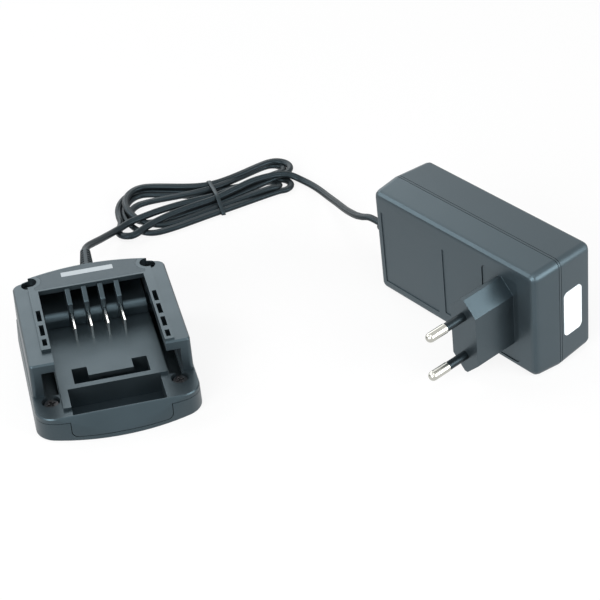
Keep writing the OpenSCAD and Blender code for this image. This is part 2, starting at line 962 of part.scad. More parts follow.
module adapter_back_shell() {
    color([0.15, 0.16, 0.17])
    place_adapter()
    difference() {
        union() {
            difference() {
                back_form();
                back_form(adapter_wall);
            }
            for (x = [pcb_x + 4, pcb_x + pcb_l - 4],
                 z = [pcb_z + 4, pcb_z + pcb_h - 4])
                translate([x, adapter_d - 1, z])
                    rotate([90, 0, 0])
                        cylinder(h = adapter_d - 1 - pcb_y - pcb_t,
                                 r = post_r);
        }
        // grooves on both sides of the rim band
        for (y = [[-1, groove_w], [groove_w + band_w, groove_w * 2 + band_w]])
            difference() {
                box(-10, adapter_l + 10, adapter_seam + y[0],
                    adapter_seam + y[1], -10, adapter_h + 10);
                adapter_layer(adapter_seam - 2, back_grow(adapter_seam + 1),
                              groove_d, band_w + groove_w * 2 + 4);
            }
        translate([-6, abo_y, abo_z])
            rotate([0, 90, 0])
                cylinder(h = 12, r = abo_base_r);
        translate([adapter_wall - 0.6, abo_y, abo_z])
            rotate([0, 90, 0])
                cylinder(h = 2, r = abo_flange_r + 0.1);
    }
}

module adapter_boot() {
    color([0.1, 0.11, 0.12])
    place_adapter() {
        translate([adapter_wall + 1, abo_y, abo_z])
            rotate([0, -90, 0])
                cylinder(h = adapter_wall + 2, r = abo_base_r);
        translate([adapter_wall - 0.6, abo_y, abo_z])
            rotate([0, 90, 0])
                cylinder(h = 2, r = abo_flange_r);
        translate([-0.9, abo_y, abo_z])
            rotate([0, -90, 0])
                slit_boot(abo_l - 0.9, abo_base_r, abo_tip_r, abo_slots,
                          boot_pitch, 1.6);
    }
}

module adapter_end_label() {
    color([0.9, 0.92, 0.93])
    place_adapter()
    intersection() {
        translate([adapter_l - 3, end_label_y, end_label_z])
            rotate([90, 0, 90])
                linear_extrude(8)
                    rounded_rect(0, end_label_d, 0, end_label_h,
                                 end_label_r);
        difference() {
            translate([end_label_t, 0, 0])
                back_form();
            back_form();
        }
    }
}

module adapter_circuit_board() {
    color([0.12, 0.34, 0.2])
    place_adapter()
        box(pcb_x, pcb_x + pcb_l, pcb_y, pcb_y + pcb_t, pcb_z,
            pcb_z + pcb_h);
}

module transformer_core() {
    color([0.12, 0.12, 0.13])
    place_adapter()
    difference() {
        box(core_x, core_x + core_l, pcb_y - coil_back - core_d, pcb_y - coil_back,
            core_z, core_z + core_h);
        for (z = [core_z + bobbin_inset, core_z + core_h - bobbin_inset - bobbin_t])
            box(core_x + bobbin_inset, core_x + core_l - bobbin_inset, 0, pcb_y,
                z, z + bobbin_t);
    }
}

module transformer_bobbin() {
    color([0.75, 0.6, 0.12])
    place_adapter() {
        // winding round the core's middle leg
        x0 = core_x + bobbin_inset;
        x1 = core_x + core_l - bobbin_inset;
        z0 = core_z + bobbin_inset;
        z1 = core_z + core_h - bobbin_inset;
        for (z = [z0, z1 - bobbin_t])
            box(x0, x1, pcb_y - bobbin_d, pcb_y - 1, z, z + bobbin_t);
        box(x0, x1, pcb_y - bobbin_d, pcb_y - coil_back - core_d, z0, z1);
        box(core_x + coil_inset, core_x + core_l - coil_inset,
            pcb_y - coil_back, pcb_y, core_z + coil_inset,
            core_z + core_h - coil_inset);
    }
}

module mains_capacitor() {
    color([0.16, 0.2, 0.3])
    place_adapter()
        translate([cap_x, pcb_y, mains_cap_z])
            rotate([90, 0, 0])
                cylinder(h = mains_cap_l, r = mains_cap_r);
}

module output_capacitor() {
    color([0.1, 0.12, 0.2])
    place_adapter()
        translate([cap_x, pcb_y, output_cap_z])
            rotate([90, 0, 0])
                cylinder(h = output_cap_l, r = output_cap_r);
}

module heat_sink() {
    color([0.7, 0.71, 0.72])
    place_adapter() {
        box(sink_x, sink_x + sink_l, pcb_y - sink_d, pcb_y, sink_z,
            sink_z + sink_t);
        box(sink_x, sink_x + sink_t, pcb_y - sink_d, pcb_y,
            sink_z - sink_leg_h, sink_z + eps);
    }
}

// ------------------------------------------------------------- mains plug

module plug_profile() {
    w = plug_half_w;
    h = plug_half_h;
    c = plug_chamfer;
    polygon([
        [-w, -h + c], [-w + c, -h], [w - c, -h], [w, -h + c],
        [w, h - c], [w - c, h], [-w + c, h], [-w, h - c]
    ]);
}

module plug_insert() {
    color([0.15, 0.16, 0.17])
    place_adapter()
    difference() {
        union() {
            along_y(panel_d, adapter_wall + 1)
                insert_outline();
            along_y(adapter_wall + 1, adapter_wall + insert_t)
                insert_outline(insert_flange);
            along_y(-plug_d, adapter_wall)
                translate([plug_x, plug_z])
                    plug_profile();
        }
        box(plug_x - plug_half_w + plug_wall,
            plug_x + plug_half_w - plug_wall, -plug_d + 4,
            adapter_wall + insert_t + 1, lower_pin_z - 3, upper_pin_z + 3);
        for (z = [upper_pin_z, lower_pin_z])
            translate([plug_x, 0, z])
                rotate([90, 0, 0])
                    cylinder(h = plug_d + 1, r = pin_core_r);
        for (z = [upper_pin_z, lower_pin_z])
            translate([plug_x, -plug_d + 1, z])
                rotate([90, 0, 0])
                    cylinder(h = 2, r = sleeve_r);
    }
}

module plug_pin(z) {
    color([0.82, 0.82, 0.8])
    place_adapter()
        translate([plug_x, -plug_d, z])
            rotate([90, 0, 0]) {
                translate([0, 0, -pin_root])
                    cylinder(h = pin_root + pin_l - pin_d / 2,
                             r = pin_core_r);
                translate([0, 0, sleeve_l])
                    cylinder(h = pin_l - sleeve_l - pin_d / 2,
                             r = pin_d / 2);
                translate([0, 0, pin_l - pin_d / 2])
                    sphere(r = pin_d / 2);
            }
}

module plug_pin_upper() {
    plug_pin(upper_pin_z);
}

module plug_pin_lower() {
    plug_pin(lower_pin_z);
}

module pin_sleeve(z) {
    color([0.1, 0.11, 0.12])
    place_adapter()
        translate([plug_x, -plug_d + 1, z])
            rotate([90, 0, 0])
                difference() {
                    cylinder(h = sleeve_l + 1, r = sleeve_r);
                    translate([0, 0, -1])
                        cylinder(h = sleeve_l + 3, r = pin_core_r);
                }
}

module pin_sleeve_upper() {
    pin_sleeve(upper_pin_z);
}

module pin_sleeve_lower() {
    pin_sleeve(lower_pin_z);
}

// Flat strip from the pin's root back to the circuit board.
module pin_contact(z) {
    color([0.75, 0.6, 0.3])
    place_adapter() {
        box(plug_x - 1.2, plug_x - 0.6, -plug_d + pin_root, pcb_y,
            z - 1.2, z + 1.2);
        box(pcb_x + pcb_l - 3, plug_x - 0.6, pcb_y - 0.6, pcb_y,
            z - 1.2, z + 1.2);
    }
}

module pin_contact_upper() {
    pin_contact(upper_pin_z);
}

module pin_contact_lower() {
    pin_contact(lower_pin_z);
}

// ------------------------------------------------------------------- cord

function unit(v) = v / norm(v);

// Tube of eight sides swept along a route, wide across and flat in height.
module flat_cord(route) {
    n = len(route);
    sides = 8;
    tangents = [for (k = [0:n - 1])
        k == 0 ? unit(route[1] - route[0])
        : k == n - 1 ? unit(route[n - 1] - route[n - 2])
        : unit(route[k + 1] - route[k - 1])];
    points = [for (k = [0:n - 1], a = [0:sides - 1])
        let (t = tangents[k],
             s = unit(cross(t, [0, 0, 1])),
             u = cross(s, t),
             ang = (a + 0.5) * 360 / sides)
        route[k] + s * cord_w / 2 * cos(ang) + u * cord_t / 2 * sin(ang)];
    walls = [for (k = [0:n - 2], a = [0:sides - 1])
        [k * sides + a, k * sides + (a + 1) % sides,
         (k + 1) * sides + (a + 1) % sides, (k + 1) * sides + a]];
    start_cap = [[for (a = [sides - 1:-1:0]) a]];
    end_cap = [[for (a = [0:sides - 1]) (n - 1) * sides + a]];
    polyhedron(points, concat(walls, start_cap, end_cap), convexity = 6);
}

module cord_lead_cradle() {
    color([0.13, 0.14, 0.15])
        flat_cord(lead_c_route);
}

module cord_lead_adapter() {
    color([0.13, 0.14, 0.15])
        flat_cord(concat([adapter_boot_tip, adapter_boot_tip
                          + 1.5 * adapter_boot_dir], lead_a_route));
}

// Pocket in the hank's edge where a lead goes in, square to the lead.
module lead_pocket(from, to) {
    d = to - from;
    translate([to[0], to[1], 0])
        rotate([0, 0, atan2(d[1], d[0])])
            translate([-14, -cord_w / 2 - 0.3, -1])
                cube([14, cord_w + 0.6, hank_h + 2]);
}

module cord_hank() {
    nc = len(lead_c_route);
    na = len(lead_a_route);
    color([0.12, 0.13, 0.14])
    difference() {
        linear_extrude(hank_h)
            for (loops = [hank_left, hank_right])
                hull()
                    for (c = concat(loops, [hank_waist]))
                        translate([c[0], c[1]])
                            circle(r = c[2]);
        tie_ring();
        lead_pocket(lead_c_route[nc - 2], lead_c_route[nc - 1]);
        lead_pocket(lead_a_route[na - 2], lead_a_route[na - 1]);
    }
}

// Thin strap once round the hank.
module tie_ring() {
    difference() {
        box(tie_x - tie_w / 2, tie_x + tie_w / 2, tie_front_y, tie_rear_y,
            0, hank_h + tie_t / 2);
        box(tie_x - tie_w, tie_x + tie_w, tie_front_y + 1.5,
            tie_rear_y - 1.5, tie_t, hank_h - tie_t / 2);
    }
}

module cord_tie() {
    color([0.07, 0.07, 0.08]) {
        tie_ring();
        for (y = [tie_front_y - 0.3, tie_rear_y + 0.3])
            translate([tie_x, y, hank_h - 1])
                sphere(r = knot_r);
    }
}

// The adapter boot's tip and the direction it points in, in the row frame.
adapter_boot_dir = [-cos(adapter_yaw), -sin(adapter_yaw), 0];
adapter_boot_tip = adapter_at + [
    -abo_l * cos(adapter_yaw)
    - (abo_y * cos(adapter_draft) - abo_z * sin(adapter_draft))
    * sin(adapter_yaw),
    -abo_l * sin(adapter_yaw)
    + (abo_y * cos(adapter_draft) - abo_z * sin(adapter_draft))
    * cos(adapter_yaw),
    abo_y * sin(adapter_draft) + abo_z * cos(adapter_draft)
];

// --------------------------------------------------------------- assembly

cradle_bottom_shell();
cradle_top_shell();
terminal_block();
contact_blade_1();
contact_blade_2();
contact_blade_3();
contact_blade_4();
cradle_circuit_board();
cradle_capacitor();
cradle_chip();
cradle_screw_front_left();
cradle_screw_front_right();
cradle_screw_rear_left();
cradle_screw_rear_right();
cradle_label();
cradle_boot();
adapter_front_shell();
adapter_back_shell();
adapter_end_label();
adapter_boot();
adapter_circuit_board();
transformer_core();
transformer_bobbin();
mains_capacitor();
output_capacitor();
heat_sink();
plug_insert();
plug_pin_upper();
plug_pin_lower();
pin_sleeve_upper();
pin_sleeve_lower();
pin_contact_upper();
pin_contact_lower();
cord_lead_cradle();
cord_hank();
cord_tie();
cord_lead_adapter();
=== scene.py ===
import math

import bmesh
import bpy
from mathutils import Matrix, Vector, geometry


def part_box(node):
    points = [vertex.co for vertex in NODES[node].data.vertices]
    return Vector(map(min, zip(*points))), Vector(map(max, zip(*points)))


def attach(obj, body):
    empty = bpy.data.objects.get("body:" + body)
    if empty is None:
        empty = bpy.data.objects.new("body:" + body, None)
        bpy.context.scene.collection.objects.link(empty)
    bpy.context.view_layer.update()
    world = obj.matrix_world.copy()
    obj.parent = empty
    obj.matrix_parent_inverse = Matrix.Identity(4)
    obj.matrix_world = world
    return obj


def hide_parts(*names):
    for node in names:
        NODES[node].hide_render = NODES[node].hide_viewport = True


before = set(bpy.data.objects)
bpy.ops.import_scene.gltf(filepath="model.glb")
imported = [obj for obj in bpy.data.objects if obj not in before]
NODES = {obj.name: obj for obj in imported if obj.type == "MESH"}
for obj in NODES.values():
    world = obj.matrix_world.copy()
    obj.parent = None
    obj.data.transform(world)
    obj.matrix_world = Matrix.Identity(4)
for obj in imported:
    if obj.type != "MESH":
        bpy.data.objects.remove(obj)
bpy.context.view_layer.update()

bl_info = {
    "name": "Tool Battery Charger",
    "version": (1, 0, 0),
    "blender": (4, 5, 0),
    "location": "View3D > Sidebar > Charger",
    "description": "Dresses a slide-in tool battery charger, its mains adapter and its tied cord",
    "category": "Object",
}

MM = 0.001

# The frame gives the deck's height; the other sizes here are the object's own.
DECK_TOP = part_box("cradle_top_shell")[1][2]
BODY = "root"

# ------------------------------------------------------------------ cord route
# Millimetres: x, y, z of the cord's centre and how far it is rolled on its edge,
# in degrees. The leads outside the hank hold the solids' own lead points. The turns
# are worked out one by one, and the second list starts where the last turn ends.
LEAD_FROM_CRADLE = [
    (2.33, 68.19, 15, 0), (2.41, 69.09, 15, 0), (2.75, 71.4, 14.9, -8), (4.2, 74.8, 14.1, -28),
    (6.9, 79.4, 12.3, -45), (10.4, 85.2, 9.8, -55), (13.7, 91.1, 7.3, -56),
    (17.2, 96.2, 5.4, -54), (21.6, 100.4, 4.6, -52), (26.8, 104.3, 4.5, -52),
    (31.5, 106.0, 4.7, -55), (38.6, 108.7, 4.7, -56), (46.2, 111.1, 4.5, -56),
    (56, 113.6, 4.1, -54),
]
LEAD_TO_ADAPTER = [
    (23.0, 109.0, 1.7, 40), (21.6, 104.0, 1.9, 25), (20.7, 100.0, 2.3, 5), (22.0, 96.6, 2.8, -20),
    (25.6, 94.9, 3.1, -40), (29.0, 96.3, 3.3, -50), (32.8, 99.4, 3.4, -52),
    (38.5, 103.0, 3.4, -54), (46.5, 106.8, 3.5, -56), (56.0, 110.0, 3.6, -56),
    (67.5, 113.2, 3.8, -56), (78, 117.1, 4.7, -55), (88.3, 121.2, 5.2, -56),
    (98.0, 122.9, 5.1, -56), (103, 123.6, 4.3, -56), (106.8, 122.8, 3.2, -54),
    (109.8, 120.6, 2.1, -50), (112.8, 116, 1.8, -42), (115, 110.5, 2.1, -40),
    (116.4, 104.5, 2.9, -40), (117.3, 98, 4.2, -42), (118, 91.5, 5.8, -43), (118.5, 85, 7.6, -43),
    (118.8, 78, 9.7, -44), (119, 71, 12, -45), (119.4, 64.5, 14.3, -45), (120, 58.4, 16.5, -35),
    (121.4, 53, 18.6, -20), (123.5, 49, 20.2, -8), (126.31, 43.13, 20.53, 0),
    (127.39, 40.87, 20.53, 0),
]
# Each turn crosses the tie's plane at its front, folds back on the right, crosses
# at its rear and folds forward on the left. A crossing is y, z, roll. A fold is its
# centre x, y, half length, half width, tilt, then z going in, at its tip and coming
# out, and its roll at the tip.
CROSSING_X = 67.5
FOLD_STEPS = 6
TURNS = (
    ((116.2, 3.4, -50), (98.5, 132.9, 6.2, 5.8, 20, 3.3, 1.6, 1.2, 20),
     (123.2, 3.4, 20), (38.2, 115.2, 9.6, 9.0, 4, 1.3, 1.4, 1.2, 30)),
    ((112.9, 1.3, -25), (100.6, 131.8, 7.1, 6.8, 14, 3.3, 3.2, 3.5, 20),
     (126.8, 3.6, 20), (40.0, 118.1, 12.6, 16.2, 10, 3.9, 4.1, 1.3, 20)),
    ((109.2, 1.3, -15), (94.6, 119.6, 4.9, 4.6, 4, 3.3, 1.5, 1.2, 0),
     (121.0, 1.2, 0), (36.6, 114.3, 10.6, 17.2, 0, 1.2, 1.5, 1.2, 40)),
    ((105.4, 1.2, -10), (99.6, 119.6, 5.4, 5.2, -12, 1.2, 1.2, 1.2, 0),
     (125.3, 1.2, 0), (37.0, 115.7, 13.8, 19.2, 0, 1.2, 1.4, 1.5, 40)),
)


def fold(shape, start, through):
    """Evenly turned points round one fold, from a start bearing through an angle."""
    x, y, half_length, half_width, tilt, z_in, z_tip, z_out, roll = shape
    lean = math.radians(tilt)
    points = []
    for step in range(FOLD_STEPS + 1):
        part = step / FOLD_STEPS
        angle = math.radians(start + through * part)
        along = half_length * math.cos(angle)
        across = half_width * math.sin(angle)
        height = z_in + (z_tip - z_in) * 2 * part
        if part > 0.5:
            height = z_tip + (z_out - z_tip) * (2 * part - 1)
        points.append((x + along * math.cos(lean) - across * math.sin(lean),
                       y + along * math.sin(lean) + across * math.cos(lean),
                       height, roll * math.sin(math.pi * part)))
    return points


def hank(turns):
    """Points of the folded turns, the last one ending halfway round its left fold."""
    points = []
    for turn, (front, right, rear, left) in enumerate(turns, 1):
        points.append((CROSSING_X, *front))
        points += fold(right, -90, 180)
        points.append((CROSSING_X, *rear))
        points += fold(left, 90, 90 if turn == len(turns) else 180)
    return points


ROUTE = LEAD_FROM_CRADLE + hank(TURNS) + LEAD_TO_ADAPTER


class ChargerLook(bpy.types.PropertyGroup):
    """Sizes and colours of the dressed charger."""

    case_colour: bpy.props.FloatVectorProperty(
        name="Case", description="Colour of the moulded cases", subtype="COLOR",
        default=(0.006, 0.0078, 0.009))
    cord_colour: bpy.props.FloatVectorProperty(
        name="Cord", description="Colour of the cord's jacket", subtype="COLOR",
        default=(0.006, 0.0075, 0.0085))
    print_colour: bpy.props.FloatVectorProperty(
        name="Print", description="Colour of the printed bar on the deck",
        subtype="COLOR", default=(0.38, 0.43, 0.46))
    cord_width: bpy.props.FloatProperty(
        name="Cord width", description="Width across both cores of the flat cord",
        default=3.2 * MM, unit="LENGTH")
    cord_thickness: bpy.props.FloatProperty(
        name="Cord thickness", description="Thickness of the flat cord at one core",
        default=2.4 * MM, unit="LENGTH")
    edge_round: bpy.props.FloatProperty(
        name="Edge round", description="Radius on the edges of the cases",
        default=0.3 * MM, unit="LENGTH")
    floor_size: bpy.props.FloatProperty(
        name="Floor", description="Side of the floor", default=4.0, unit="LENGTH")


def look():
    """The sizes and colours that the panel shows."""
    return bpy.context.scene.charger_look


# ------------------------------------------------------------------- materials

# Share of the case's or the cord's colour that each moulding is given. The lower shell's darker
# share is painted shade, and the shares that make the terminal block, the adapter's case and the
# plug lighter are painted light: these are the case's own plastic, made darker or lighter for how
# the light falls on them.
LOWER_SHELL_PAINTED_SHADE = 0.95
TERMINAL_PAINTED_LIGHT = 1.05
RUBBER_TONE = 0.8
TIE_TONE = 0.8
ADAPTER_PAINTED_LIGHT = 2.6
PLUG_PAINTED_LIGHT = 1.8
SLEEVE_TONE = 0.7

CONTACT_NICKEL = (0.80, 0.80, 0.78)
PIN_NICKEL = (0.50, 0.50, 0.46)
SCREW_STEEL = (0.10, 0.10, 0.105)
SINK_ALUMINIUM = (0.62, 0.63, 0.64)
CONTACT_BRASS = (0.62, 0.45, 0.18)
LABEL_BLACK = (0.022, 0.029, 0.034)
LABEL_WHITE = (0.84, 0.90, 0.93)
BOARD_GREEN = (0.012, 0.09, 0.04)
CAPACITOR_BLUE = (0.02, 0.03, 0.09)
TAPE_YELLOW = (0.55, 0.38, 0.03)
FERRITE_GREY = (0.03, 0.03, 0.032)
CHIP_BLACK = (0.015, 0.015, 0.016)

COOL_TINT = (0.6, 0.86, 1.0)
NO_TINT = (1, 1, 1)

# Part of the noise over which a finish goes from its low to its high value.
CLOUD_SPAN = (0.3, 0.7)
CLOUD_ROUGH = 0.6
CASE_CLOUDS = 60
METAL_CLOUDS = 300
FILM_CLOUDS = 900
CASE_SPREAD = 0.1
METAL_SPREAD = 0.06
FILM_SPREAD = 0.03
GRAIN_STRENGTH = 0.6
SCRATCH_SCALE = 400
SCRATCH_DEPTH = 0.00001
SCRATCH_STRENGTH = 0.5


def new_material(name):
    """A new material and its one shader."""
    mat = bpy.data.materials.new(name)
    mat.use_nodes = True
    return mat, mat.node_tree.nodes["Principled BSDF"]


def noise(mat, scale, detail, rough=CLOUD_ROUGH):
    """Noise in the object's own metres."""
    place = mat.node_tree.nodes.new("ShaderNodeTexCoord")
    node = mat.node_tree.nodes.new("ShaderNodeTexNoise")
    node.inputs["Scale"].default_value = scale
    node.inputs["Detail"].default_value = detail
    node.inputs["Roughness"].default_value = rough
    mat.node_tree.links.new(place.outputs["Object"], node.inputs["Vector"])
    return node.outputs["Fac"]


def vary(mat, factor, low, high):
    """A number that follows the clouds between low and high."""
    node = mat.node_tree.nodes.new("ShaderNodeMapRange")
    node.inputs["From Min"].default_value = CLOUD_SPAN[0]
    node.inputs["From Max"].default_value = CLOUD_SPAN[1]
    node.inputs["To Min"].default_value = low
    node.inputs["To Max"].default_value = high
    mat.node_tree.links.new(factor, node.inputs["Value"])
    return node.outputs["Result"]


def shade(mat, factor, low, high):
    """A colour that follows the clouds between low and high."""
    node = mat.node_tree.nodes.new("ShaderNodeValToRGB")
    ramp = node.color_ramp
    ramp.elements[0].position, ramp.elements[1].position = CLOUD_SPAN
    ramp.elements[0].color = (*low, 1)
    ramp.elements[1].color = (*high, 1)
    mat.node_tree.links.new(factor, node.inputs["Fac"])
    return node.outputs["Color"]


def bump(mat, height, depth, strength):
    """A surface normal raised by a height of so many metres."""
    node = mat.node_tree.nodes.new("ShaderNodeBump")
    node.inputs["Strength"].default_value = strength
    node.inputs["Distance"].default_value = depth
    mat.node_tree.links.new(height, node.inputs["Height"])
    return node.outputs["Normal"]


def tone(colour, share):
    """The colour made lighter or darker by a share, and never past white."""
    return tuple(min(channel * share, 1.0) for channel in colour)


def moulded(name, colour, rough=(0.36, 0.44), grain=2600, grain_depth=0.00003,
            level=0.9, tint=COOL_TINT):
    """Moulded plastic with a fine spark-eroded grain."""
    mat, skin = new_material(name)
    link = mat.node_tree.links.new
    clouds = noise(mat, CASE_CLOUDS, 4)
    fine = noise(mat, grain, 2)
    link(shade(mat, clouds, tone(colour, 1 - CASE_SPREAD), tone(colour, 1 + CASE_SPREAD)),
         skin.inputs["Base Color"])
    link(vary(mat, clouds, *rough), skin.inputs["Roughness"])
    link(bump(mat, fine, grain_depth, GRAIN_STRENGTH), skin.inputs["Normal"])
    skin.inputs["Specular IOR Level"].default_value = level
    skin.inputs["Specular Tint"].default_value = (*tint, 1)
    return mat


def metal(name, colour, rough):
    """Bare metal with fine wear."""
    mat, skin = new_material(name)
    link = mat.node_tree.links.new
    clouds = noise(mat, METAL_CLOUDS, 3)
    link(shade(mat, clouds, tone(colour, 1 - METAL_SPREAD), tone(colour, 1 + METAL_SPREAD)),
         skin.inputs["Base Color"])
    link(vary(mat, clouds, *rough), skin.inputs["Roughness"])
    scratches = noise(mat, SCRATCH_SCALE, 3, rough=0.5)
    link(bump(mat, scratches, SCRATCH_DEPTH, SCRATCH_STRENGTH), skin.inputs["Normal"])
    skin.inputs["Metallic"].default_value = 1.0
    return mat


def film(name, colour, rough=(0.3, 0.4), level=0.5, tint=NO_TINT):
    """Printed or paper film."""
    mat, skin = new_material(name)
    link = mat.node_tree.links.new
    clouds = noise(mat, FILM_CLOUDS, 3)
    link(shade(mat, clouds, tone(colour, 1 - FILM_SPREAD), tone(colour, 1 + FILM_SPREAD)),
         skin.inputs["Base Color"])
    link(vary(mat, clouds, *rough), skin.inputs["Roughness"])
    skin.inputs["Specular IOR Level"].default_value = level
    skin.inputs["Specular Tint"].default_value = (*tint, 1)
    return mat


def dress(piece, mat):
    """Gives a piece one finish in place of any that it has."""
    piece.data.materials.clear()
    piece.data.materials.append(mat)


BOOT_ROUND = 0.15 * MM
CONTACT_ROUND = 0.12 * MM
SCREW_ROUND = 0.12 * MM
ADAPTER_ROUND = 0.12 * MM
PLUG_ROUND = 0.35 * MM
PIN_ROUND = 0.1 * MM
WELD_REACH = 0.002 * MM
FLAT_ANGLE = 1.0
NORMAL_WEIGHT = 60


def soften(piece, radius, angle=32, segments=3):
    """Rounds the edges of a carried-over solid."""
    weld = piece.modifiers.new("weld", "WELD")
    weld.merge_threshold = WELD_REACH
    flat = piece.modifiers.new("flat", "DECIMATE")
    flat.decimate_type = "DISSOLVE"
    flat.angle_limit = math.radians(FLAT_ANGLE)
    edge = piece.modifiers.new("edge", "BEVEL")
    edge.width = radius
    edge.segments = segments
    edge.limit_method = "ANGLE"
    edge.angle_limit = math.radians(angle)
    edge.use_clamp_overlap = True
    edge.harden_normals = False
    for face in piece.data.polygons:
        face.use_smooth = True
    split = piece.modifiers.new("normals", "WEIGHTED_NORMAL")
    split.keep_sharp = True
    split.weight = NORMAL_WEIGHT


def add_piece(name, mesh, mat, smooth=True, replaces=()):
    """Puts a new piece on the body and the solids it stands for."""
    piece = bpy.data.objects.new(name, mesh)
    bpy.context.scene.collection.objects.link(piece)
    dress(piece, mat)
    for face in mesh.polygons:
        face.use_smooth = smooth
    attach(piece, BODY)
    if replaces:
        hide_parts(*replaces)
    return piece


# ---------------------------------------------------------------------- camera

# Where the camera stands, and the directions of its right and of its down.
CAMERA_AT = Vector((-40.95, -551.79, 404.55)) * MM
CAMERA_RIGHT = Vector((0.96817, -0.2457, -0.04767))
CAMERA_DOWN = Vector((-0.17708, -0.53785, -0.82423))
LENS = 102
SENSOR = 36
CLIP_START = 0.02


class CHARGER_OT_camera(bpy.types.Operator):
    """Places the camera over the front of the cradle"""

    bl_idname = "charger.camera"
    bl_label = "Camera"

    def execute(self, context):
        data = bpy.data.cameras.new("camera")
        data.lens = LENS
        data.sensor_width = SENSOR
        data.clip_start = CLIP_START
        camera = bpy.data.objects.new("camera", data)
        context.scene.collection.objects.link(camera)
        right = CAMERA_RIGHT.normalized()
        up = -(CAMERA_DOWN - CAMERA_DOWN.dot(right) * right).normalized()
        back = right.cross(up)
        turn = Matrix((right, up, back)).transposed().to_4x4()
        camera.matrix_world = Matrix.Translation(CAMERA_AT) @ turn
        context.scene.camera = camera
        return {"FINISHED"}


# ------------------------------------------------------------------------ cord

ROUTE_STEP = 1.2
CORE_SIDES = 12


def mix(a, b, t):
    """The value a share t of the way from a to b."""
    return a + (b - a) * t


def smooth_route(points, reach):
    """Points about one reach apart along the curve that passes through every route point."""
    ends = [tuple(2 * a - b for a, b in zip(points[0], points[1]))]
    tail = [tuple(2 * a - b for a, b in zip(points[-1], points[-2]))]
    knots = [Vector(p) for p in ends + list(points) + tail]
    line = []
    for a, b, c, d in zip(knots, knots[1:], knots[2:], knots[3:]):
        chord = (c.xyz - b.xyz).length
        at_b = math.sqrt((b.xyz - a.xyz).length)
        at_c = at_b + math.sqrt(chord)
        at_d = at_c + math.sqrt((d.xyz - c.xyz).length)
        steps = max(2, round(chord / reach))
        for step in range(steps):
            t = at_b + (at_c - at_b) * step / steps
            ab = mix(a, b, t / at_b)
            bc = mix(b, c, (t - at_b) / (at_c - at_b))
            cd = mix(c, d, (t - at_c) / (at_d - at_c))
            abc = mix(ab, bc, t / at_c)
            bcd = mix(bc, cd, (t - at_b) / (at_d - at_b))
            line.append(mix(abc, bcd, (t - at_b) / (at_c - at_b)))
    line.append(knots[-2])
    return line


def twin_section(width, thickness):
    """Outline of two round cores moulded side by side."""
    radius = thickness / 2
    offset = width / 2 - radius
    cut = math.acos(offset / radius) if offset < radius else 0.0
    outline = []
    for side in (1, -1):
        for k in range(CORE_SIDES):
            angle = -math.pi + cut + (2 * math.pi - 2 * cut) * k / (CORE_SIDES - 1)
            outline.append((side * (offset + radius * math.cos(angle)),
                            side * radius * math.sin(angle)))
    return outline


def sweep(name, line, rolls, outline):
    """Mesh tube of one outline along a line, turned by its roll."""
    mesh = bpy.data.meshes.new(name)
    form = bmesh.new()
    rings = []
    for k, here in enumerate(line):
        ahead = line[min(k + 1, len(line) - 1)]
        behind = line[max(k - 1, 0)]
        along = (ahead - behind).normalized()
        across = along.cross(Vector((0, 0, 1))).normalized()
        up = across.cross(along)
        c, s = math.cos(rolls[k]), math.sin(rolls[k])
        wide, high = across * c + up * s, up * c - across * s
        rings.append([form.verts.new(here + wide * x + high * y) for x, y in outline])
    count = len(outline)
    for a, b in zip(rings, rings[1:]):
        for k in range(count):
            form.faces.new((a[k], a[(k + 1) % count], b[(k + 1) % count], b[k]))
    form.faces.new(list(reversed(rings[0])))
    form.faces.new(rings[-1])
    bmesh.ops.recalc_face_normals(form, faces=form.faces)
    form.to_mesh(mesh)
    form.free()
    return mesh


class CHARGER_OT_cord(bpy.types.Operator):
    """Lays the twin flat cord from the cradle's boot through its hank to the adapter's boot"""

    bl_idname = "charger.cord"
    bl_label = "Cord"

    def execute(self, context):
        values = smooth_route(ROUTE, ROUTE_STEP)
        line = [Vector(v[:3]) * MM for v in values]
        rolls = [math.radians(v[3]) for v in values]
        mesh = sweep("twin_cord", line, rolls,
                     twin_section(look().cord_width, look().cord_thickness))
        jacket = moulded("cord_jacket", look().cord_colour, rough=(0.36, 0.46), grain=1500,
                         grain_depth=0.00002, level=0.34)
        cord = add_piece("twin_cord", mesh, jacket,
                         replaces=("cord_lead_cradle", "cord_hank", "cord_lead_adapter"))
        tie = make_tie(line)
        return {"FINISHED"}


# The tie's place at its rear, how far it leans to the right for each metre forward,
# and the y and z in millimetres that its strap reaches in front and behind.
TIE_REAR = Vector((67.8, 129.0)) * MM
TIE_SLANT = 0.06
TIE_ENDS = ((101.9, 1.2), (129.6, 3.4))
TIE_WIDTH = 1.7 * MM
TIE_THICK = 0.7 * MM
TIE_STEPS = 40
STRAND_SIDES = 16
TIE_SECTION = ((-1, -0.7), (-0.8, -1), (0.8, -1), (1, -0.7), (1, 0.7), (0.8, 1), (-0.8, 1),
               (-1, 0.7))
SAME_PLACE = 1e-7
SHORTEST_EDGE = 1e-9


def tie_x(y):
    """Where the slanted tie lies at one depth."""
    return TIE_REAR.x + TIE_SLANT * (TIE_REAR.y - y)


